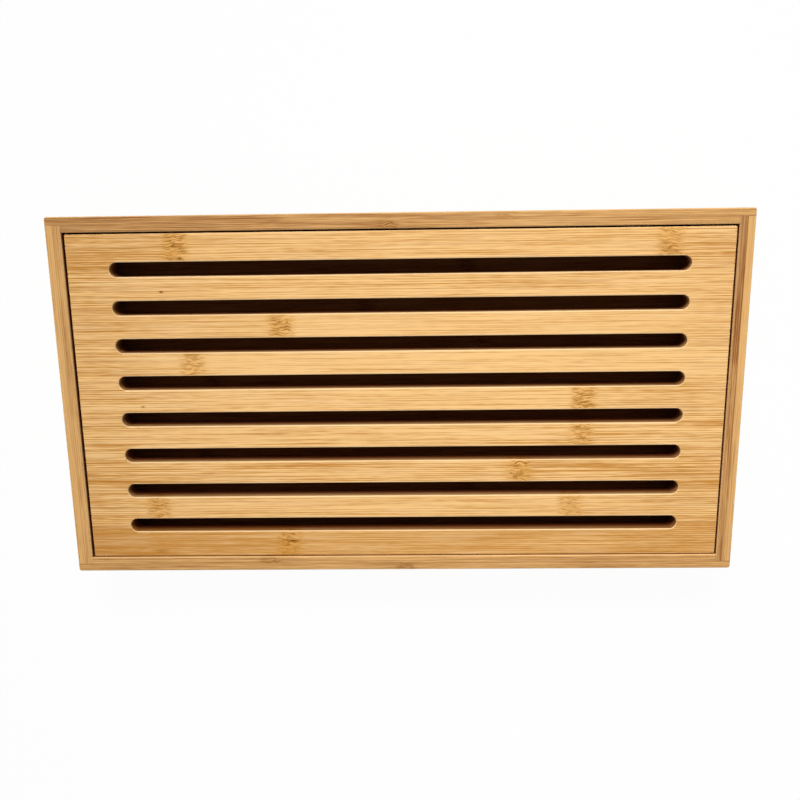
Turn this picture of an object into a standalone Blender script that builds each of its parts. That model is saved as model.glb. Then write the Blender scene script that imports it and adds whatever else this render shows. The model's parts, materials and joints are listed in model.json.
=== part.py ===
"""Bread board with crumb tray: a slotted bamboo board that lifts out of a shallow bamboo tray.

Lengths are in metres, +Z is up, and the origin lies on the table, under the middle of the tray.
The long side runs along X, and the back wall is at +Y. The whole measures 420 x 225 x 40 mm.
"""

import math

import bmesh
import bpy

# Slotted board: slots and the bars between them
SLOT_COUNT = 8
SLOT_LENGTH = 0.3483
SLOT_WIDTH = 0.0088
BAR_WIDTH = 0.0144
EDGE_BAR_WIDTH = 0.01675
END_MARGIN = 0.02525
BOARD_THICKNESS = 0.012
BOARD_CORNER_RADIUS = 0.001
BOARD_EASE = 0.0006

# Loose fit of the board in the tray, as it lies pushed to the right and to the front
LEFT_GAP = 0.0016
RIGHT_GAP = 0.001
BACK_GAP = 0.0011
FRONT_GAP = 0.0006
BOARD_RECESS = 0.0007

# Tray walls: the long walls lap the ends of the short ones with a lip
WALL_THICKNESS = 0.0093
LIP_SHARE = 0.5
GROOVE_DEPTH_SHARE = 0.33
TRAY_CORNER_RADIUS = 0.0015
TRAY_EASE = 0.0008

# Base panel, held in a groove, and the space for crumbs above it
BASE_RECESS = 0.003
BASE_THICKNESS = 0.005
BASE_EASE = 0.0004
CRUMB_DEPTH = 0.0168

# Cleats along the end walls, on which the board lies
CLEAT_WIDTH = 0.010
CLEAT_EASE = 0.0005

# Rubber feet on the base panel
FOOT_DIAMETER = 0.012
FOOT_TAPER = 0.0008
FOOT_EASE = 0.0008
FOOT_STAND = 0.0025
FOOT_INSET = 0.007

# Fits and cuts
SEAM = 0.0003
OVERRUN = 0.002
WELD = 0.000001

# Facets of the round forms
EASE_STEPS = 3
CORNER_STEPS = 4
SLOT_END_STEPS = 12
FOOT_STEPS = 32
SHARP_ANGLE = math.radians(35)

# Colours, linear, with the roughness of oiled bamboo and of rubber
BOARD_COLOUR = (0.86, 0.51, 0.20, 1)
RIM_COLOUR = (0.60, 0.32, 0.115, 1)
BASE_COLOUR = (0.66, 0.38, 0.15, 1)
RUBBER_COLOUR = (0.025, 0.024, 0.023, 1)
BAMBOO_ROUGHNESS = 0.5
RUBBER_ROUGHNESS = 0.8

# Sizes that follow from the ones above
slot_pitch = SLOT_WIDTH + BAR_WIDTH
board_length = SLOT_LENGTH + 2 * END_MARGIN
board_width = SLOT_COUNT * slot_pitch - BAR_WIDTH + 2 * EDGE_BAR_WIDTH
inner_length = board_length + LEFT_GAP + RIGHT_GAP
inner_width = board_width + BACK_GAP + FRONT_GAP
tray_length = inner_length + 2 * WALL_THICKNESS
tray_width = inner_width + 2 * WALL_THICKNESS
lip_thickness = WALL_THICKNESS * LIP_SHARE
groove_depth = WALL_THICKNESS * GROOVE_DEPTH_SHARE

wall_foot = FOOT_STAND
base_bottom = wall_foot + BASE_RECESS
base_top = base_bottom + BASE_THICKNESS
board_bottom = base_top + CRUMB_DEPTH
board_top = board_bottom + BOARD_THICKNESS
rim_top = board_top + BOARD_RECESS


def arc(centre, radius, start, end, steps):
    """Points of an arc in the XY plane, from one angle to another."""
    x, y = centre
    angles = [start + (end - start) * step / steps for step in range(steps + 1)]
    return [(x + radius * math.cos(angle), y + radius * math.sin(angle)) for angle in angles]


def rectangle(length, width, radius, inset=0):
    """A rectangle round the origin with rounded corners, drawn in by an inset."""
    radius = max(radius - inset, 0)
    x = length / 2 - inset - radius
    y = width / 2 - inset - radius
    quarter = math.pi / 2
    points = []
    for turn, centre in enumerate([(x, y), (-x, y), (-x, -y), (x, -y)]):
        points += arc(centre, radius, turn * quarter, (turn + 1) * quarter, CORNER_STEPS)
    return points


def circle(radius):
    """A circle round the origin."""
    return arc((0, 0), radius, 0, 2 * math.pi, FOOT_STEPS)[:-1]


def slot_outline(outset=0):
    """A slot's outline, round at both ends, widened by an outset."""
    reach = (SLOT_LENGTH - SLOT_WIDTH) / 2
    radius = SLOT_WIDTH / 2 + outset
    quarter = math.pi / 2
    right = arc((reach, 0), radius, -quarter, quarter, SLOT_END_STEPS)
    left = arc((-reach, 0), radius, quarter, 3 * quarter, SLOT_END_STEPS)
    return right + left


def long_wall_outline(inset=0):
    """The front wall in plan: its outer face on the X axis, a lip at each end, its inner face at +Y."""
    radius = max(TRAY_CORNER_RADIUS - inset, 0)
    centre_x = tray_length / 2 - inset - radius
    centre_y = inset + radius
    quarter = math.pi / 2
    outer_left = arc((-centre_x, centre_y), radius, 2 * quarter, 3 * quarter, CORNER_STEPS)
    outer_right = arc((centre_x, centre_y), radius, -quarter, 0, CORNER_STEPS)
    lip_end = tray_length / 2 - inset
    shoulder = inner_length / 2 - SEAM
    inner_face = WALL_THICKNESS - inset
    right = [(lip_end, lip_thickness), (shoulder, lip_thickness), (shoulder, inner_face)]
    left = [(-shoulder, inner_face), (-shoulder, lip_thickness), (-lip_end, lip_thickness)]
    return outer_left + outer_right + right + left


def short_wall_outline(inset=0):
    """The right wall in plan: its outer face on the Y axis, its inner face at -X, square ends."""
    end = tray_width / 2 - lip_thickness - SEAM
    corner = inner_width / 2 + inset
    outer_face = -inset
    back_of_ease = -WALL_THICKNESS
    inner_face = back_of_ease + inset
    upper = [(outer_face, end), (back_of_ease, end), (back_of_ease, corner), (inner_face, corner)]
    lower = [(x, -y) for x, y in reversed(upper)]
    return lower[-1:] + upper + lower[:-1]


def eased(bottom, top, ease):
    """Heights and insets of a solid whose lower and upper arrises are rounded."""
    steps = [math.pi / 2 * step / EASE_STEPS for step in range(EASE_STEPS + 1)]
    rounding = [(ease * (1 - math.cos(angle)), ease * (1 - math.sin(angle))) for angle in steps]
    lower = [(bottom + rise, inset) for rise, inset in rounding]
    upper = [(top - rise, inset) for rise, inset in reversed(rounding)]
    return lower + upper


def flared(bottom, top, ease):
    """Heights and outsets of a cutter that leaves rounded arrises on both faces of a plate.

    Its last facet crosses the plate's face and goes on as far again, so that no corner lies in it.
    """
    steps = [math.pi / 2 * step / EASE_STEPS for step in range(EASE_STEPS)]
    rounding = [(ease * (1 - math.sin(angle)), ease * (1 - math.cos(angle))) for angle in steps]
    drop, outset = rounding[-1]
    rounding.append((-drop, 2 * ease - outset))
    rounding.append((-OVERRUN, 2 * ease - outset))
    lower = [(bottom + rise, outset) for rise, outset in reversed(rounding)]
    upper = [(top - rise, outset) for rise, outset in rounding]
    return lower + upper


def lofted(name, sections):
    """A mesh closed over flat outlines that are stacked upwards, each with as many points."""
    bm = bmesh.new()
    rings = [[bm.verts.new((x, y, height)) for x, y in outline] for height, outline in sections]
    bm.faces.new(rings[0])
    for lower, upper in zip(rings, rings[1:]):
        for index in range(len(lower)):
            bm.faces.new((lower[index - 1], lower[index], upper[index], upper[index - 1]))
    bm.faces.new(rings[-1])
    bmesh.ops.remove_doubles(bm, verts=bm.verts, dist=WELD)
    bmesh.ops.recalc_face_normals(bm, faces=bm.faces)
    mesh = bpy.data.meshes.new(name)
    bm.to_mesh(mesh)
    bm.free()
    mesh.shade_smooth()
    mesh.set_sharp_from_angle(angle=SHARP_ANGLE)
    return mesh


def placed(name, mesh, location=(0, 0, 0), turn=0):
    """An object that shows a mesh at a place, turned about the vertical."""
    piece = bpy.data.objects.new(name, mesh)
    piece.location = location
    piece.rotation_euler.z = turn
    bpy.context.scene.collection.objects.link(piece)
    return piece


def cutter(name, mesh, location=(0, 0, 0)):
    """A hidden solid that only cuts other pieces."""
    piece = placed(name, mesh, location)
    piece.hide_render = True
    piece.display_type = "WIRE"
    return piece


def cut(piece, tool):
    """Takes a cutter's shape out of a piece."""
    modifier = piece.modifiers.new(tool.name, "BOOLEAN")
    modifier.operation = "DIFFERENCE"
    modifier.solver = "EXACT"
    modifier.object = tool


def finish(piece, colour, roughness):
    """Gives a piece a material of its own."""
    material = bpy.data.materials.new(piece.name)
    material.use_nodes = True
    shader = material.node_tree.nodes["Principled BSDF"]
    shader.inputs["Base Color"].default_value = colour
    shader.inputs["Roughness"].default_value = roughness
    shader.inputs["Metallic"].default_value = 0
    if not piece.data.materials:
        piece.data.materials.append(None)
    piece.material_slots[0].link = "OBJECT"
    piece.material_slots[0].material = material


def slot_cutter(location):
    """Router path of the first slot, repeated across the board."""
    heights = flared(0, BOARD_THICKNESS, BOARD_EASE)
    mesh = lofted("slot", [(height, slot_outline(outset)) for height, outset in heights])
    tool = cutter("slot_cutter", mesh, location)
    row = tool.modifiers.new("row_of_slots", "ARRAY")
    row.count = SLOT_COUNT
    row.use_relative_offset = False
    row.use_constant_offset = True
    row.constant_offset_displace = (0, slot_pitch, 0)
    return tool


def slotted_board():
    """The cutting board: one glued-up bamboo panel with a row of long slots for the crumbs."""
    x = (LEFT_GAP - RIGHT_GAP) / 2
    y = (FRONT_GAP - BACK_GAP) / 2
    heights = eased(0, BOARD_THICKNESS, BOARD_EASE)
    outlines = [
        (height, rectangle(board_length, board_width, BOARD_CORNER_RADIUS, inset))
        for height, inset in heights
    ]
    board = placed("slotted_board", lofted("board_blank", outlines), (x, y, board_bottom))
    first_slot = y - slot_pitch * (SLOT_COUNT - 1) / 2
    cut(board, slot_cutter((x, first_slot, board_bottom)))
    finish(board, BOARD_COLOUR, BAMBOO_ROUGHNESS)
    return board


def groove_cutter(name, length, width):
    """A slab whose edge mills the groove for the base panel into a pair of walls."""
    bottom = base_bottom - SEAM
    top = base_top + SEAM
    outline = rectangle(length, width, 0)
    return cutter(name, lofted(name, [(bottom, outline), (top, outline)]))


def wall_mesh(name, outline):
    """A wall's blank, standing on the height of the tray's lower edge, with rounded arrises."""
    heights = eased(wall_foot, rim_top, TRAY_EASE)
    return lofted(name, [(height, outline(inset)) for height, inset in heights])


def long_walls():
    """Front and back wall, lapping the short walls, grooved between their shoulders."""
    mesh = wall_mesh("long_wall", long_wall_outline)
    reach = tray_length + 2 * OVERRUN
    groove = groove_cutter("long_groove", reach, inner_width + 2 * groove_depth)
    half = tray_width / 2
    walls = [placed("front_wall", mesh, (0, -half, 0)), placed("back_wall", mesh, (0, half, 0), math.pi)]
    for wall in walls:
        cut(wall, groove)
        finish(wall, RIM_COLOUR, BAMBOO_ROUGHNESS)
    return walls


def short_walls():
    """Right and left wall, between the lips of the long ones, with the groove run out at both ends."""
    mesh = wall_mesh("short_wall", short_wall_outline)
    reach = tray_width + 2 * OVERRUN
    groove = groove_cutter("short_groove", inner_length + 2 * groove_depth, reach)
    half = tray_length / 2
    walls = [placed("right_wall", mesh, (half, 0, 0)), placed("left_wall", mesh, (-half, 0, 0), math.pi)]
    for wall in walls:
        cut(wall, groove)
        finish(wall, RIM_COLOUR, BAMBOO_ROUGHNESS)
    return walls


def base_panel():
    """The tray's floor, held in the grooves of all four walls."""
    length = inner_length + 2 * (groove_depth - SEAM)
    width = inner_width + 2 * (groove_depth - SEAM)
    heights = eased(0, BASE_THICKNESS, BASE_EASE)
    outlines = [(height, rectangle(length, width, 0, inset)) for height, inset in heights]
    panel = placed("base_panel", lofted("base_panel", outlines), (0, 0, base_bottom))
    finish(panel, BASE_COLOUR, BAMBOO_ROUGHNESS)
    return panel


def cleats():
    """A strip against each end wall, standing on the base panel and carrying the board's end."""
    height = CRUMB_DEPTH - 2 * SEAM
    length = inner_width - 2 * SEAM
    heights = eased(0, height, CLEAT_EASE)
    mesh = lofted("cleat", [(rise, rectangle(CLEAT_WIDTH, length, 0, inset)) for rise, inset in heights])
    x = inner_length / 2 - SEAM - CLEAT_WIDTH / 2
    strips = [
        placed("left_cleat", mesh, (-x, 0, base_top + SEAM)),
        placed("right_cleat", mesh, (x, 0, base_top + SEAM)),
    ]
    for strip in strips:
        finish(strip, BASE_COLOUR, BAMBOO_ROUGHNESS)
    return strips


def feet():
    """Four tapered rubber feet under the base panel, reaching below the walls."""
    radius = FOOT_DIAMETER / 2
    height = base_bottom - SEAM
    sections = []
    for rise, inset in eased(0, height, FOOT_EASE):
        taper = FOOT_TAPER * (1 - rise / height)
        sections.append((rise, circle(radius - taper - inset)))
    mesh = lofted("foot", sections)
    x = inner_length / 2 - FOOT_INSET - radius
    y = inner_width / 2 - FOOT_INSET - radius
    corners = {
        "foot_front_left": (-x, -y, 0),
        "foot_front_right": (x, -y, 0),
        "foot_back_left": (-x, y, 0),
        "foot_back_right": (x, y, 0),
    }
    rubbers = [placed(name, mesh, corner) for name, corner in corners.items()]
    for rubber in rubbers:
        finish(rubber, RUBBER_COLOUR, RUBBER_ROUGHNESS)
    return rubbers


def main():
    """Clears the scene and builds the tray and the board."""
    for leftover in list(bpy.data.objects):
        bpy.data.objects.remove(leftover)
    slotted_board()
    tray = bpy.data.objects.new("tray", None)
    bpy.context.scene.collection.objects.link(tray)
    for piece in [*long_walls(), *short_walls(), base_panel(), *cleats(), *feet()]:
        piece.parent = tray


main()
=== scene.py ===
import json
import math

import bmesh
import bpy
from bpy.props import FloatProperty, FloatVectorProperty, PointerProperty
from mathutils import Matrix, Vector


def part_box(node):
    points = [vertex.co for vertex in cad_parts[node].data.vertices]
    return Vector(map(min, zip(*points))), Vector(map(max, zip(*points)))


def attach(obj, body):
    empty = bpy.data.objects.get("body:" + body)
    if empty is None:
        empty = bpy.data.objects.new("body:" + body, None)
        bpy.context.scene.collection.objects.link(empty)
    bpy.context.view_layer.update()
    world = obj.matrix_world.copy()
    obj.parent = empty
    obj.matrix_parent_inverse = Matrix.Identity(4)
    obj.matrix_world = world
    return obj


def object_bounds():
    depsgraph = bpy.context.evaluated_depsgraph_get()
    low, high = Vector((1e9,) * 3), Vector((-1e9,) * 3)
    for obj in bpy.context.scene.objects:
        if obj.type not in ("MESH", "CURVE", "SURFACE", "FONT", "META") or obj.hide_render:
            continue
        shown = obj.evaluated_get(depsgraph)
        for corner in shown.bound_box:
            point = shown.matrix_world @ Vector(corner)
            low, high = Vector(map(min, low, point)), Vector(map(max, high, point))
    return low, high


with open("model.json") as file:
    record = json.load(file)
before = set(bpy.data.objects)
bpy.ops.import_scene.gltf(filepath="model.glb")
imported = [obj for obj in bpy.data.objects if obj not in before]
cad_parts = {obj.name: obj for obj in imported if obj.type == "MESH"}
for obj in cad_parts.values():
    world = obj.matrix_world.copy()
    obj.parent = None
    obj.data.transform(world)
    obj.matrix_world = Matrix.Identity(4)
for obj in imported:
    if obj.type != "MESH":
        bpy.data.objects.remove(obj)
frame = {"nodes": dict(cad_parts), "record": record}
cad_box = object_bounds()

bl_info = {
    "name": "Bread Board with Crumb Tray",
    "version": (1, 0, 0),
    "blender": (4, 5, 0),
    "location": "3D View > Sidebar > Bread Board",
    "description": "Gives a slotted bamboo board and its crumb tray their finishes and a plain stage",
    "category": "Object",
}

# Millimetres in a metre: every pattern is drawn in millimetres
MM = 1000

# Where the tray and the board end, in millimetres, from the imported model
TRAY_LOW, TRAY_HIGH = [corner * MM for corner in cad_box]
BOARD_LOW, BOARD_HIGH = [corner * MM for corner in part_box("slotted_board")]
BOARD_MIDDLE = (BOARD_LOW + BOARD_HIGH) / 2
BOARD_HALF = (BOARD_HIGH - BOARD_LOW) / 2

# Where the slots lie, in metres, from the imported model
SLOTS = [
    [Vector(corner) for corner in opening["box_m"]]
    for opening in frame["record"]["physics"]["openings"]
    if opening["name"].startswith("slot_")
]
SLOT_PITCH = SLOTS[1][0].y - SLOTS[0][0].y
FIRST_SLOT = (SLOTS[0][0].y + SLOTS[0][1].y) / 2

# Shade of each strip of the board from the front one to the back one, 0 honey to 1 straw
BOARD_SHADES = (0.15, 0.71, 0.62, 0.92, 0.89, 0.88, 0.70, 0.77, 0.44)
# How strongly the fibres show in each strip of the board
BOARD_VIGOUR = (0.65, 1.0, 1.15, 1.2, 1.1, 0.9, 0.7, 1.0, 1.0)
# Culm marks of the board, at most one in a strip for each group: strip, place along the board in mm,
# strength, change of shade beyond it
BOARD_MARKS = (
    ((0, -71.8, 0.9, 0.12), (1, 106.9, 0.8, -0.15), (2, 74.3, 1.0, -0.18), (3, 112.3, 0.9, -0.16)),
    ((4, 113.3, 1.0, -0.12), (5, -126.7, 0.9, 0.10), (6, -71.4, 1.0, 0.14), (8, -132.8, 1.0, 0.28)),
    ((0, -156.4, 0.25, 0.0), (1, -154.9, 0.9, 0.10), (8, 161.2, 0.85, -0.05)),
)
# Knots and stains of the board: place across and along it, half width and half length in mm, strength
BOARD_SPOTS = (
    (67.4, -143.2, 0.7, 1.3, 1.0),
    (-3.6, -159.8, 0.7, 1.3, 0.8),
    (-92.6, -69.6, 0.7, 3.4, 1.0),
    (-91.9, -60.0, 0.4, 7.0, 0.4),
    (97.5, -135.5, 0.7, 0.9, 0.7),
    (94.6, -134.3, 0.7, 0.9, 0.9),
    (87.4, -130.6, 0.7, 1.2, 0.9),
    (48.6, -67.8, 0.7, 0.9, 0.7),
    (44.3, -68.5, 0.6, 0.9, 0.6),
    (51.0, -75.5, 1.7, 3.6, 0.30),
    (28.3, -127.6, 1.0, 4.2, 0.30),
    (-99.3, -155.0, 1.5, 3.8, 0.45),
)

# Shades of the walls' plies: outer and inner ply at the low end of y once turned, then at the high end
LONG_SHADES = (0.58, 0.60, 0.33, 0.34)
SHORT_SHADES = (0.95, 0.58, 0.95, 0.0)
# Culm marks of the walls, as those of the board, with a ply in place of a strip. A mark of strength 0 is
# no culm mark: it only steps the shade along its ply, as painted light and shade where the lamps light the
# walls unevenly
LONG_MARKS = (
    ((1, -85.1, 0.9, 0.0), (3, -6.0, 1.0, 0.22)),
    ((0, 2.7, 0.8, 0.0), (2, 64.5, 0.5, 0.12)),
    ((2, -70.0, 0.0, 0.16),),
)
SHORT_MARKS = (((3, -20.0, 0.0, 0.34), (1, 10.0, 0.0, 0.16), (2, 30.0, 0.0, -0.14)),)

# Stretch in mm, half of it on either side of the middle, within which every culm mark lies
MARK_STRETCH = 500
# Stretch in mm over which the culm marks of the base and the cleats are strewn
BASE_MARK_STRETCH = 360

# Height in metres that a relief of 1 stands for
RELIEF = 0.00005

# How far in mm from a cut or inner face its painted shade starts to give way to its neighbours' tone, and
# has done so
FACE_EDGE = (0.05, 0.15)

# How far apart in mm the figures of two strips may lie in their patterns, along the fibres and across them
FIGURE_RUN = 900
FIGURE_RISE = 40

# What a strip's number is raised by before its figure and its culm mark are drawn by chance
FIGURE_SEED = 3.7
MARK_SEED = 8.1

# Where the camera stands in metres and how it is turned in degrees, fitted to the photograph
CAMERA_PLACE = (0.01103, 0.1079, 0.53702)
CAMERA_TURN = (-12.313, 1.076, -0.763)


def colour(name, description, default):
    """A colour that a user may change."""
    return FloatVectorProperty(
        name=name, description=description, default=default, size=3, min=0, max=1, subtype="COLOR"
    )


def length(name, description, default):
    """A length that a user may change."""
    return FloatProperty(name=name, description=description, default=default, min=0, unit="LENGTH")


def share(name, description, default):
    """A share between nothing and all."""
    return FloatProperty(
        name=name, description=description, default=default, min=0, max=1, subtype="FACTOR"
    )


class BoardLook(bpy.types.PropertyGroup):
    """Finish of the slotted cutting board."""

    straw: colour("Straw", "Palest strips", (0.97, 0.60, 0.245))
    honey: colour("Honey", "Deepest strips", (0.59, 0.260, 0.050))
    fibre: colour("Fibre", "Dark fibres and the culm marks", (0.34, 0.120, 0.010))
    gold: colour("Gold", "Tint of the wood in a culm mark", (0.82, 0.39, 0.055))
    # Sanded tints the pale blush and the arrises; on the arrises it is partly sanded wood and partly a
    # painted highlight
    sanded: colour("Sanded", "Arrises that the sander has eased", (1.0, 0.72, 0.39))
    # Shade is painted shade on the slot walls and the board's sides, darker downwards, and also the real
    # colour of the pin knots; depth sets how dark that painted shade turns
    shade: colour("Shade", "Router-burnt walls deep in a slot", (0.100, 0.014, 0.001))
    depth: share("Depth", "How dark the walls of a slot turn", 0.96)
    grain: share("Grain", "Contrast of the fibres", 0.7)
    thread_length: length("Thread length", "How far a fibre shows along the strip", 0.08)
    gloss: share("Gloss", "Sheen of the oiled surface", 0.14)
    strip_width: length("Strip width", "Pitch of the strips that the board is glued from", SLOT_PITCH)
    mark_length: length("Mark length", "Half the length of a culm mark along the strip", 0.0078)
    slot_width: length("Slot width", "Width of a slot between its walls", 0.0088)
    slot_length: length("Slot length", "Length of a slot, round ends included", 0.3483)
    # The pale arris is partly sanded wood and partly a painted highlight
    arris: length("Arris", "Width of the pale eased arris", 0.0009)


class WallLook(bpy.types.PropertyGroup):
    """Finish of the tray's four walls."""

    straw: colour("Straw", "Palest plies", (0.81, 0.458, 0.166))
    honey: colour("Honey", "Deepest plies", (0.30, 0.106, 0.024))
    fibre: colour("Fibre", "Dark fibres and the culm marks", (0.22, 0.080, 0.012))
    gold: colour("Gold", "Tint of the wood in a culm mark", (0.50, 0.23, 0.05))
    # Sanded tints the pale blush and the arrises; on the arrises it is partly sanded wood and partly a
    # painted highlight
    sanded: colour("Sanded", "Arrises that the sander has eased", (0.85, 0.54, 0.245))
    # Shade is painted shade on the inner faces below the rim, and depth sets how dark that painted shade
    # turns
    shade: colour("Shade", "Inner faces low in the tray", (0.130, 0.022, 0.002))
    depth: share("Depth", "How dark the inner faces turn", 0.95)
    grain: share("Grain", "Contrast of the fibres", 0.38)
    thread_length: length("Thread length", "How far a fibre shows along the wall", 0.045)
    gloss: share("Gloss", "Sheen of the oiled surface", 0.14)
    ply: length("Ply", "Thickness of one ply of a wall", 0.00465)
    strip_height: length("Strip height", "Height of the strips that a ply is glued from", 0.01875)
    mark_length: length("Mark length", "Half the length of a culm mark along the wall", 0.007)
    arris: length("Arris", "Width of the pale eased arris", 0.0009)


class BaseLook(bpy.types.PropertyGroup):
    """Finish of the base panel and of the cleats, whose dark tone is painted shade."""

    straw: colour("Straw", "Palest strips", (0.20, 0.065, 0.016))
    honey: colour("Honey", "Deepest strips", (0.11, 0.032, 0.007))
    fibre: colour("Fibre", "Dark fibres", (0.06, 0.016, 0.003))
    gold: colour("Gold", "Tint of the wood in a culm mark", (0.12, 0.035, 0.007))
    sanded: colour("Sanded", "Arrises that the sander has eased", (0.30, 0.145, 0.055))
    grain: share("Grain", "Contrast of the fibres", 0.7)
    thread_length: length("Thread length", "How far a fibre shows along the strip", 0.03)
    gloss: share("Gloss", "Sheen of the sanded surface", 0.03)
    strip_width: length("Strip width", "Width of the strips that the panel is glued from", 0.02)
    mark_length: length("Mark length", "Half the length of a culm mark along the strip", 0.006)


class FootLook(bpy.types.PropertyGroup):
    """Finish of the rubber feet."""

    rubber: colour("Rubber", "Moulded rubber", (0.022, 0.021, 0.020))
    bloom: colour("Bloom", "Dull grey bloom on the rubber", (0.060, 0.058, 0.055))


class GlueLook(bpy.types.PropertyGroup):
    """Glue that fills the corner joints."""

    glue: colour("Glue", "Dried wood glue", (0.55, 0.26, 0.085))
    gap: length("Gap", "Width of the joint that the glue fills", 0.0003)
    slack: length("Slack", "Hairline left on both sides of the glue", 0.00001)
    drop: length("Drop", "How far the glue stays back from the faces of the walls", 0.00012)


class StageLook(bpy.types.PropertyGroup):
    """Floor, lamps and camera."""

    floor: colour("Floor", "Pale floor", (0.94, 0.94, 0.935))
    floor_width: length("Floor width", "Side of the square floor", 6.0)
    floor_white: share("Floor white", "How far the floor shows as plain white to the camera", 0.96)
    key_power: FloatProperty(name="Key", description="Power of the soft key lamp", default=2.02, min=0)
    back_power: FloatProperty(name="Back", description="Power of the low back lamp", default=0.6, min=0)
    ambient: share("Ambient", "Light from all round", 0.42)
    lens: FloatProperty(name="Lens", description="Focal length in mm", default=37.125, min=1)


class Wire:
    """A socket of a finish, on which Python's arithmetic adds Math nodes."""

    def __init__(self, finish, socket):
        self.finish = finish
        self.socket = socket

    def __add__(self, other):
        return self.finish.math("ADD", self, other)

    def __sub__(self, other):
        return self.finish.math("SUBTRACT", self, other)

    def __rsub__(self, other):
        return self.finish.math("SUBTRACT", other, self)

    def __mul__(self, other):
        return self.finish.math("MULTIPLY", self, other)

    def __truediv__(self, other):
        return self.finish.math("DIVIDE", self, other)

    __radd__ = __add__
    __rmul__ = __mul__

    def size(self):
        """The value without its sign."""
        return self.finish.math("ABSOLUTE", self)

    def floor(self):
        """The whole number below the value."""
        return self.finish.math("FLOOR", self)

    def nearest(self):
        """The nearest whole number."""
        return self.finish.math("ROUND", self)

    def at_least(self, other):
        """The value, or the other where that is greater."""
        return self.finish.math("MAXIMUM", self, other)

    def at_most(self, other):
        """The value, or the other where that is less."""
        return self.finish.math("MINIMUM", self, other)

    def bell(self):
        """1 where the value is 0, falling softly to 0 on both sides."""
        return self.finish.math("EXPONENT", self * self * -1)

    def rise(self, low, high):
        """0 below low, 1 above high, and a smooth step between them."""
        return self.finish.add(
            "ShaderNodeMapRange",
            {"interpolation_type": "SMOOTHSTEP"},
            {"Value": self, "From Min": low, "From Max": high},
        )


class Finish:
    """Nodes that make up the finish of a material or of the world."""

    def __init__(self, owner):
        owner.use_nodes = True
        self.owner = owner
        self.tree = owner.node_tree
        self.tree.nodes.clear()

    def add(self, kind, settings=None, sockets=None, output=0):
        """Adds a node, sets it up, feeds its sockets and hands back one of its outputs."""
        node = self.tree.nodes.new(kind)
        for name, value in (settings or {}).items():
            if name == "stops":
                self.set_stops(node.color_ramp, value)
            elif name == "spread":
                node.color_ramp.interpolation = value
            else:
                setattr(node, name, value)
        for name, value in (sockets or {}).items():
            if isinstance(value, Wire):
                self.tree.links.new(value.socket, node.inputs[name])
            else:
                node.inputs[name].default_value = value
        return Wire(self, node.outputs[output]) if len(node.outputs) else None

    def set_stops(self, ramp, stops):
        """Gives a colour ramp its stops, each a place and a colour."""
        while len(ramp.elements) < len(stops):
            ramp.elements.new(1.0)
        for element, (place, tone) in zip(ramp.elements, stops):
            element.position = place
            element.color = (*tone, 1)

    def math(self, operation, *values):
        """A Math node."""
        return self.add("ShaderNodeMath", {"operation": operation}, dict(enumerate(values)))

    def vector(self, x, y, z):
        """Three values as one vector."""
        return self.add("ShaderNodeCombineXYZ", sockets={"X": x, "Y": y, "Z": z})

    def parts(self, vector):
        """The three values of a vector."""
        split = self.add("ShaderNodeSeparateXYZ", sockets={"Vector": vector})
        return [Wire(self, socket) for socket in split.socket.node.outputs]

    def scaled(self, place, along, across, shift=(0, 0)):
        """A place scaled for a pattern that changes so often per mm along x and across it."""
        return self.add(
            "ShaderNodeVectorMath",
            {"operation": "MULTIPLY_ADD"},
            {0: place, 1: (along, across, across), 2: (*shift, 0)},
        )

    def noise(self, place, along, across, shift=(0, 0), detail=0):
        """Soft noise of mean 0.5 that changes so often per mm along x and across it."""
        sockets = {"Vector": self.scaled(place, along, across, shift), "Scale": 1, "Detail": detail}
        return self.add("ShaderNodeTexNoise", sockets=sockets)

    def chance(self, number):
        """A value between 0 and 1 that each number has of its own."""
        return self.add("ShaderNodeTexWhiteNoise", {"noise_dimensions": "1D"}, {"W": number})

    def mix(self, factor, first, second):
        """Two colours mixed by a factor, through the sockets that the node keeps for colours."""
        return self.add(
            "ShaderNodeMix",
            {"data_type": "RGBA"},
            {0: factor, 6: self.opaque(first), 7: self.opaque(second)},
            output=2,
        )

    def opaque(self, tone):
        """A plain colour with its alpha, or a wire as it is."""
        return tone if isinstance(tone, Wire) else (*tone, 1)

    def by_strip(self, strip, values):
        """Looks a value up by the number of the strip."""
        count = len(values)
        stops = [(index / count, (value, value, value)) for index, value in enumerate(values)]
        settings = {"stops": stops, "spread": "CONSTANT"}
        return self.add("ShaderNodeValToRGB", settings, {"Fac": (strip + 0.5) / count})

    def place(self, turn=0):
        """The point on the piece in millimetres, turned about the vertical."""
        point = self.add("ShaderNodeTexCoord", output="Object")
        sockets = {"Vector": point, "Rotation": (0, 0, turn), "Scale": (MM, MM, MM)}
        return self.add("ShaderNodeMapping", {"vector_type": "POINT"}, sockets)

    def done(self, tone, roughness, height, gloss):
        """Ends the finish in one shader with a relief."""
        relief = {"Strength": 1.0, "Distance": RELIEF, "Height": height}
        sockets = {
            "Base Color": tone,
            "Roughness": roughness,
            "Normal": self.add("ShaderNodeBump", sockets=relief),
            "Specular IOR Level": gloss,
        }
        shader = self.add("ShaderNodeBsdfPrincipled", sockets=sockets)
        self.add("ShaderNodeOutputMaterial", sockets={"Surface": shader})
        return self.owner


def new_finish(name):
    """The finish of a new material."""
    return Finish(bpy.data.materials.new(name))


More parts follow.
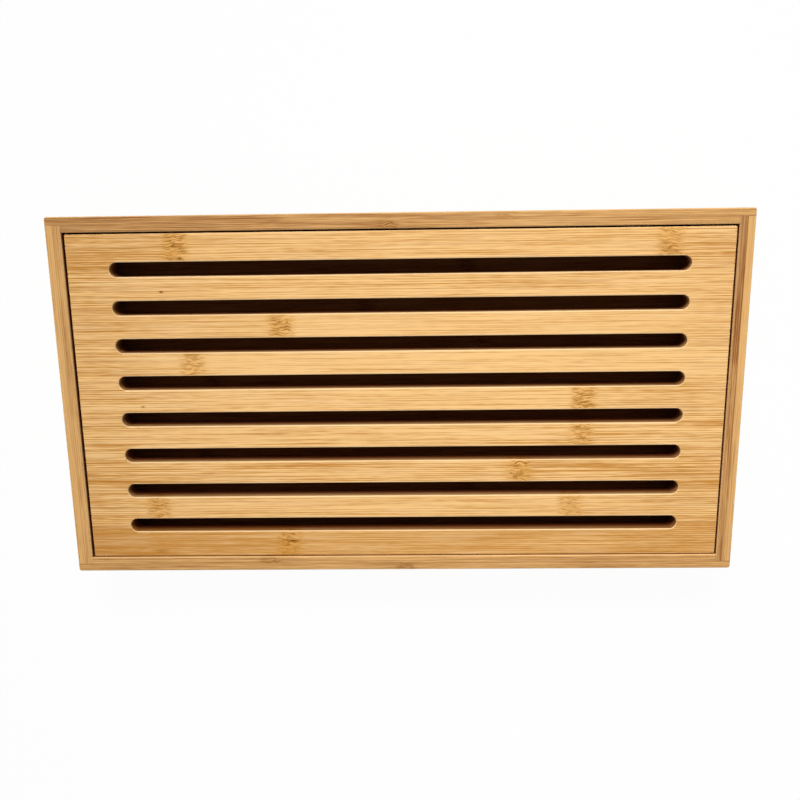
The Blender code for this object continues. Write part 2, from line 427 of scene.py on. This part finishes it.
def culm_marks(finish, strip, count, x, groups, half_length):
    """How strongly a point lies in a culm mark of its strip, and the shade that the marks' far sides add.

    A ramp holds values from 0 to 1, so a place is given to it as a share of the stretch.
    """
    strength = 0
    change = 0
    for group in groups:
        places = [0.0] * count
        strengths = [0.0] * count
        changes = [0.5] * count
        for index, place, force, step in group:
            places[index] = 0.5 + place / MARK_STRETCH
            strengths[index] = force
            changes[index] = 0.5 + step
        beyond = x - (finish.by_strip(strip, places) - 0.5) * MARK_STRETCH
        nearness = beyond / half_length
        strength = (nearness * nearness).bell() * finish.by_strip(strip, strengths) + strength
        change = beyond.rise(-4, 4) * (finish.by_strip(strip, changes) - 0.5) + change
    return strength, change


def bamboo(finish, look, place, strip, shade, seam, mark, pin=0, arris=0, painted_shade=0, vigour=1):
    """Ends a finish as bamboo whose fibres run along x, in strips that each have their own figure.

    place is the point's x, y and z in mm, and seam the distance to the nearest glue line in mm.
    shade runs from 0, honey, to 1, straw. The culm mark, the pin knot, the arris and the painted shade run
    from 0 to 1:
    the arris is pale, partly sanded wood and partly a painted highlight, and the painted shade darkens a
    cut or inner face in the dark below the upper ones.
    vigour is how much stronger than usual the finest fibres show.
    """
    x, y, z = place
    own = finish.chance(strip + FIGURE_SEED)
    run = x + own * FIGURE_RUN
    rise = z + own * FIGURE_RISE

    # The fibres sway along the strip, and swirl in a culm mark
    stock = finish.vector(run, y, rise)
    sway = finish.noise(stock, 0.010, 0.035) - 0.5
    swirl = finish.noise(stock, 0.24, 0.20) - 0.5
    row = y + sway * 0.8 + mark * swirl * 2.7
    fibres = finish.vector(run, row, rise)

    # Fibres, from the finest to the broad bands, and the vessels that show as dots
    pace = 1 / (look.thread_length * MM)
    fine = finish.noise(fibres, pace, 1.80) - 0.5
    ticks = finish.noise(fibres, 0.11, 1.80, (0, 30)) - 0.5
    wander = finish.noise(fibres, 0.006, 0.30, (0, 15), 1)
    fade = finish.noise(fibres, pace * 1.8, 0.90, (0, 25), 1).rise(0.35, 0.65)
    comb = finish.math("SINE", (row + rise) * 4.6 + wander * 5) * fade
    threads = finish.noise(fibres, pace * 1.3, 1.50, (7, 50), 1).rise(0.57, 0.65)
    blush = finish.noise(fibres, 0.020, 0.25, (0, 70), 1).rise(0.45, 0.70)
    broad = finish.noise(fibres, 0.008, 0.15, detail=2) - 0.5
    bundles = finish.add(
        "ShaderNodeTexVoronoi",
        {"feature": "F1"},
        {"Vector": finish.scaled(fibres, pace * 0.5, 0.80), "Scale": 1},
    )
    dots = 1 - bundles.rise(0.10, 0.34)

    # Short dark waves, flecks and pits of a culm mark
    core = mark * mark
    waves = finish.noise(fibres, 0.15, 1.30, (0, 20)).rise(0.50, 0.58) * mark
    flecks = finish.noise(fibres, 0.24, 1.20, (0, 40)).rise(0.60, 0.66) * core
    pits = finish.noise(fibres, 0.42, 0.95, (0, 60)).rise(0.70, 0.78) * core

    lift = (fine * 3.0 + ticks * 1.3 + comb * 0.52) * vigour * (1 - mark * 0.5) + broad * 0.5
    dark = threads * 0.30 * vigour + dots * 0.08
    scars = waves * 0.65 + flecks * 0.50 + pits * 0.7 + pin
    base = finish.mix((shade + lift * look.grain).at_least(0).at_most(1), look.honey, look.straw)
    base = finish.mix(blush * 0.18, base, look.sanded)
    base = finish.mix(mark * 0.42, base, look.gold)
    base = finish.mix((dark * look.grain + scars * 0.8).at_most(0.85), base, look.fibre)
    if pin:
        base = finish.mix((pin - 0.5).at_least(0) * 1.6, base, look.shade)
    base = finish.mix((1 - seam.rise(0.05, 0.30)) * 0.30, base, look.fibre)
    # Pale arris: partly sanded wood, partly a painted highlight
    base = finish.mix(arris * 0.85, base, look.sanded)
    # Painted shade on cut and inner faces, standing in for the dark below the upper faces
    if painted_shade:
        base = finish.mix(painted_shade, base, look.shade)

    sunk = threads * 0.4 + flecks * 0.4 + pits * 0.8 + (1 - seam.rise(0.0, 0.25)) * 0.8
    roughness = 0.46 + threads * 0.12 + mark * 0.06 - fine * 0.10
    return finish.done(base, roughness, fine * 1.1 + ticks * 0.5 - sunk, look.gloss)


def board_material(look):
    """Oiled bamboo of the cutting board, glued up from strips whose joints lie in the slots."""
    finish = new_finish("board_bamboo")
    place = finish.parts(finish.place())
    x, y, z = place
    pitch = look.strip_width * MM
    strips = len(BOARD_SHADES)
    across = (y - FIRST_SLOT * MM) / pitch
    strip = (across + 1).floor().at_least(0).at_most(strips - 1)
    seam = (across - across.nearest()).size() * pitch
    mark, change = culm_marks(finish, strip, strips, x, BOARD_MARKS, look.mark_length * MM)

    # Distances in mm to the nearest slot's wall and to the board's ends and sides
    radius = look.slot_width * MM / 2
    reach = look.slot_length * MM / 2 - radius
    slot = across.nearest().at_least(0).at_most(len(SLOTS) - 1)
    beside = y - FIRST_SLOT * MM - slot * pitch
    beyond = ((x - BOARD_MIDDLE.x).size() - reach).at_least(0)
    slot_edge = (finish.math("SQRT", beside * beside + beyond * beyond) - radius).size()
    end_edge = BOARD_HALF.x - (x - BOARD_MIDDLE.x).size()
    side_edge = BOARD_HALF.y - (y - BOARD_MIDDLE.y).size()
    outer_edge = end_edge.at_most(side_edge)
    depth = BOARD_HIGH.z - z

    # Pale arrises, partly sanded wood and partly a painted highlight, wider along the slots; and painted
    # shade on the cut faces and the board's sides, darker downwards
    rim = (slot_edge + beyond.rise(0, 1) * 0.4).at_most(end_edge + 0.4).at_most(side_edge + 0.45)
    arris = (1 - rim.rise(0.2, look.arris * MM)) * (1 - depth.rise(0.7, 1.2))
    dusk = depth.rise(0.3, 2.0) * 0.6 + depth.rise(2.0, 8.0) * 0.4
    cut = 1 - slot_edge.rise(*FACE_EDGE)
    side = (1 - outer_edge.rise(*FACE_EDGE)) * 0.85
    painted_shade = cut.at_least(side) * dusk * look.depth

    # The wood is painted deeper towards the ends, deepest at the left one, as painted shade where the
    # light falls off; the fibres show livelier towards the ends
    painted_end_shade = 0.25 - (x - BOARD_MIDDLE.x).rise(-10, 10) * 0.13
    shade = finish.by_strip(strip, BOARD_SHADES) + change - (1 - end_edge.rise(0, 70)) * painted_end_shade
    vigour = (1 - end_edge.rise(10, 60)) * 0.25 + finish.by_strip(strip, BOARD_VIGOUR)
    pin = 0
    for spot_y, spot_x, half_width, half_length, force in BOARD_SPOTS:
        spot = ((x - spot_x) / half_length).bell() * ((y - spot_y) / half_width).bell()
        pin = spot * force + pin
    return bamboo(finish, look, place, strip, shade, seam, mark, pin, arris, painted_shade, vigour)


def wall_material(look, name, turn, half_width, half_length, shades, marks):
    """Oiled two-ply bamboo of a pair of tray walls whose fibres run along x once turned."""
    finish = new_finish(name)
    place = finish.parts(finish.place(turn))
    x, y, z = place
    ply = look.ply * MM
    within = half_width - y.size()
    inner = (within / ply).floor().at_least(0).at_most(1)
    ply_number = inner + y.rise(-1, 1) * 2
    level = ((z - TRAY_LOW.z) / (look.strip_height * MM)).floor()
    seam = (within - ply).size()
    mark, change = culm_marks(finish, ply_number, len(shades), x, marks, look.mark_length * MM)
    shade = finish.by_strip(ply_number, shades) + change + (level - 1) * 0.06
    edge = within.size().at_most((within - 2 * ply).size()).at_most(half_length - x.size())
    depth = TRAY_HIGH.z - z
    # Pale arrises, partly sanded wood and partly a painted highlight
    arris = (1 - edge.rise(0.1, look.arris * MM)) * (1 - depth.rise(0.8, 1.3)) * 0.7
    # Painted shade on the inner faces, darker downwards below the rim
    painted_shade = (1 - (2 * ply - within).rise(*FACE_EDGE)) * depth.rise(0.7, 2.6) * look.depth
    strip = ply_number + level * 5
    return bamboo(finish, look, place, strip, shade, seam, mark, arris=arris, painted_shade=painted_shade)


def base_material(look, name, turn):
    """Plainly sanded bamboo strips, run along x once turned, whose dark tone is painted shade."""
    finish = new_finish(name)
    place = finish.parts(finish.place(turn))
    x, y, z = place
    pitch = look.strip_width * MM
    across = (y + pitch / 2) / pitch
    strip = across.floor()
    seam = (across - across.nearest()).size() * pitch
    mark_place = (finish.chance(strip + MARK_SEED) - 0.5) * BASE_MARK_STRETCH
    mark = ((x - mark_place) / (look.mark_length * MM)).bell()
    shade = finish.noise(finish.vector(strip * 0.7, 0.3, 0.6), 1, 1)
    return bamboo(finish, look, place, strip, shade, seam, mark)


def rubber_material(look):
    """Moulded rubber with a faint dull bloom."""
    finish = new_finish("foot_rubber")
    place = finish.place()
    cloud = finish.noise(place, 0.4, 0.4, detail=3)
    pores = finish.noise(place, 6, 6, detail=2)
    tone = finish.mix(cloud.rise(0.45, 0.75) * 0.7, look.rubber, look.bloom)
    return finish.done(tone, 0.70 + cloud * 0.2, pores * 0.6 + cloud, 0.4)


def glue_material(look):
    """Dried glue with darker spots where dust has settled."""
    finish = new_finish("joint_glue")
    cloud = finish.noise(finish.place(), 0.25, 0.25, detail=3)
    deep = [channel * 0.6 for channel in look.glue]
    tone = finish.mix(cloud.rise(0.35, 0.65), deep, look.glue)
    return finish.done(tone, 0.45 + cloud * 0.2, cloud, 0.2)


def seen_directly(finish):
    """1 for what the camera sees, also in gloss and through glass, and 0 for light on other things."""
    camera = finish.add("ShaderNodeLightPath", output="Is Camera Ray")
    outputs = camera.socket.node.outputs
    glossy = Wire(finish, outputs["Is Glossy Ray"])
    clear = Wire(finish, outputs["Is Transmission Ray"])
    return camera.at_least(glossy).at_least(clear)


def floor_material(look):
    """Pale floor that shows nearly white to the camera and keeps the shadow of what stands on it."""
    finish = new_finish("stage_floor")
    cloud = finish.noise(finish.place(), 0.004, 0.004, detail=2)
    dull = [channel * 0.985 for channel in look.floor]
    matt = {"Base Color": finish.mix(cloud, dull, look.floor), "Roughness": 0.8, "Specular IOR Level": 0.1}
    paint = finish.add("ShaderNodeBsdfPrincipled", sockets=matt)
    white = finish.add("ShaderNodeEmission", sockets={"Color": (1, 1, 1, 1), "Strength": 1.0})
    seen = seen_directly(finish) * look.floor_white
    surface = finish.add("ShaderNodeMixShader", sockets={0: seen, 1: paint, 2: white})
    finish.add("ShaderNodeOutputMaterial", sockets={"Surface": surface})
    return finish.owner


def dress(names, material):
    """Gives CAD nodes a finish in place of the plain one they came with."""
    for name in names:
        for slot in frame["nodes"][name].material_slots:
            slot.material = material


def add_object(name, data):
    """An object at the origin that holds a mesh, a lamp or a camera."""
    item = bpy.data.objects.new(name, data)
    bpy.context.scene.collection.objects.link(item)
    return item


def new_mesh(name, bm, material):
    """A mesh of one material, from a bmesh that isn't needed after it."""
    mesh = bpy.data.meshes.new(name)
    bm.to_mesh(mesh)
    bm.free()
    mesh.materials.append(material)
    return mesh


class BREADBOARD_OT_board(bpy.types.Operator):
    """Give the slotted board its bamboo"""

    bl_idname = "breadboard.board"
    bl_label = "Slotted Board"

    def execute(self, context):
        dress(["slotted_board"], board_material(context.scene.board_look))
        return {"FINISHED"}


class BREADBOARD_OT_walls(bpy.types.Operator):
    """Give the four walls of the tray their two-ply bamboo"""

    bl_idname = "breadboard.walls"
    bl_label = "Tray Walls"

    def execute(self, context):
        look = context.scene.wall_look
        long_walls = wall_material(
            look,
            "rim_bamboo_long",
            turn=0,
            half_width=TRAY_HIGH.y,
            half_length=TRAY_HIGH.x,
            shades=LONG_SHADES,
            marks=LONG_MARKS,
        )
        short_walls = wall_material(
            look,
            "rim_bamboo_short",
            turn=math.pi / 2,
            half_width=TRAY_HIGH.x,
            half_length=TRAY_HIGH.y,
            shades=SHORT_SHADES,
            marks=SHORT_MARKS,
        )
        dress(["front_wall", "back_wall"], long_walls)
        dress(["left_wall", "right_wall"], short_walls)
        return {"FINISHED"}


class BREADBOARD_OT_base(bpy.types.Operator):
    """Give the base panel and the cleats their sanded bamboo"""

    bl_idname = "breadboard.base"
    bl_label = "Base and Cleats"

    def execute(self, context):
        look = context.scene.base_look
        dress(["base_panel"], base_material(look, "base_bamboo", 0))
        dress(["left_cleat", "right_cleat"], base_material(look, "cleat_bamboo", math.pi / 2))
        return {"FINISHED"}


class BREADBOARD_OT_feet(bpy.types.Operator):
    """Give the four feet their rubber"""

    bl_idname = "breadboard.feet"
    bl_label = "Feet"

    def execute(self, context):
        feet = [f"foot_{end}_{side}" for end in ("front", "back") for side in ("left", "right")]
        dress(feet, rubber_material(context.scene.foot_look))
        return {"FINISHED"}


class BREADBOARD_OT_glue(bpy.types.Operator):
    """Fill the four corner joints of the tray with glue"""

    bl_idname = "breadboard.glue"
    bl_label = "Corner Glue"

    def execute(self, context):
        look = context.scene.glue_look
        material = glue_material(look)
        wall_low, wall_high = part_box("back_wall")
        short_low, short_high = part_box("right_wall")
        near = short_low.x - look.gap + look.slack
        far = short_low.x - look.slack
        low = short_high.y + look.slack
        high = short_high.y + look.gap - look.slack
        start = wall_low.y + look.drop
        end = wall_high.x - look.drop
        outline = [(near, start), (far, start), (far, low), (end, low), (end, high), (near, high)]
        foot = wall_low.z + look.drop
        head = wall_high.z - look.drop
        for name, mirror in {
            "glue_back_right": (1, 1),
            "glue_back_left": (-1, 1),
            "glue_front_left": (-1, -1),
            "glue_front_right": (1, -1),
        }.items():
            bm = bmesh.new()
            sole = bm.faces.new([bm.verts.new((x, y, foot)) for x, y in outline])
            raised = bmesh.ops.extrude_face_region(bm, geom=[sole])["geom"]
            tops = [item for item in raised if isinstance(item, bmesh.types.BMVert)]
            bmesh.ops.translate(bm, verts=tops, vec=(0, 0, head - foot))
            bmesh.ops.scale(bm, verts=bm.verts, vec=(*mirror, 1))
            bmesh.ops.recalc_face_normals(bm, faces=bm.faces)
            mesh = new_mesh(name, bm, material)
            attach(add_object(name, mesh), "tray")
        return {"FINISHED"}


def soft_lamp(name, place, aim, width, depth, power, spread):
    """A rectangular lamp that faces a point and spreads its light over an angle in degrees."""
    light = bpy.data.lights.new(name, "AREA")
    light.shape = "RECTANGLE"
    light.size = width
    light.size_y = depth
    light.energy = power
    light.spread = math.radians(spread)
    lamp = add_object(name, light)
    lamp.location = place
    lamp.rotation_euler = (Vector(aim) - Vector(place)).to_track_quat("-Z", "Y").to_euler()


class BREADBOARD_OT_stage(bpy.types.Operator):
    """Set up the floor, the lamps, the surroundings and the camera"""

    bl_idname = "breadboard.stage"
    bl_label = "Stage"

    def execute(self, context):
        look = context.scene.stage_look
        bm = bmesh.new()
        bmesh.ops.create_grid(bm, x_segments=1, y_segments=1, size=look.floor_width / 2)
        mesh = new_mesh("stage_floor", bm, floor_material(look))
        add_object("stage_floor", mesh)

        soft_lamp(
            "key_lamp",
            place=(-0.08, 1.12, 1.15),
            aim=(0.13, -0.16, 0.04),
            width=0.7,
            depth=0.4,
            power=look.key_power,
            spread=50,
        )
        soft_lamp(
            "back_lamp",
            place=(-0.05, 0.95, 0.30),
            aim=(0.0, 0.0, 0.04),
            width=1.2,
            depth=0.12,
            power=look.back_power,
            spread=180,
        )

        air = Finish(bpy.data.worlds.new("stage_air"))
        strength = seen_directly(air) * (1 - look.ambient) + look.ambient
        sky = air.add("ShaderNodeBackground", sockets={"Color": (1, 1, 1, 1), "Strength": strength})
        air.add("ShaderNodeOutputWorld", sockets={"Surface": sky})
        context.scene.world = air.owner

        camera = bpy.data.cameras.new("photo_camera")
        camera.lens = look.lens
        camera.sensor_width = 36
        camera.clip_start = 0.01
        camera.clip_end = 20
        viewer = add_object("photo_camera", camera)
        viewer.location = CAMERA_PLACE
        viewer.rotation_euler = [math.radians(turn) for turn in CAMERA_TURN]
        context.scene.camera = viewer
        context.scene.view_settings.view_transform = "Standard"
        return {"FINISHED"}


LOOKS = {
    "board_look": BoardLook,
    "wall_look": WallLook,
    "base_look": BaseLook,
    "foot_look": FootLook,
    "glue_look": GlueLook,
    "stage_look": StageLook,
}
STEPS = (
    BREADBOARD_OT_board,
    BREADBOARD_OT_walls,
    BREADBOARD_OT_base,
    BREADBOARD_OT_feet,
    BREADBOARD_OT_glue,
    BREADBOARD_OT_stage,
)


class BREADBOARD_PT_sidebar(bpy.types.Panel):
    """Finishes of the bread board and the steps that make them"""

    bl_label = "Bread Board"
    bl_space_type = "VIEW_3D"
    bl_region_type = "UI"
    bl_category = "Bread Board"

    def draw(self, context):
        for step, name in zip(STEPS, LOOKS):
            box = self.layout.box()
            look = getattr(context.scene, name)
            for prop in look.__annotations__:
                box.prop(look, prop)
            box.operator(step.bl_idname)


def register():
    for name, look in LOOKS.items():
        bpy.utils.register_class(look)
        setattr(bpy.types.Scene, name, PointerProperty(type=look))
    for item in (*STEPS, BREADBOARD_PT_sidebar):
        bpy.utils.register_class(item)


def unregister():
    for item in (BREADBOARD_PT_sidebar, *reversed(STEPS)):
        bpy.utils.unregister_class(item)
    for name, look in reversed(LOOKS.items()):
        delattr(bpy.types.Scene, name)
        bpy.utils.unregister_class(look)


def main():
    """Registers the add-on and runs its steps."""
    register()
    bpy.ops.breadboard.board()
    bpy.ops.breadboard.walls()
    bpy.ops.breadboard.base()
    bpy.ops.breadboard.feet()
    bpy.ops.breadboard.glue()
    bpy.ops.breadboard.stage()


if __name__ == "__main__":
    main()
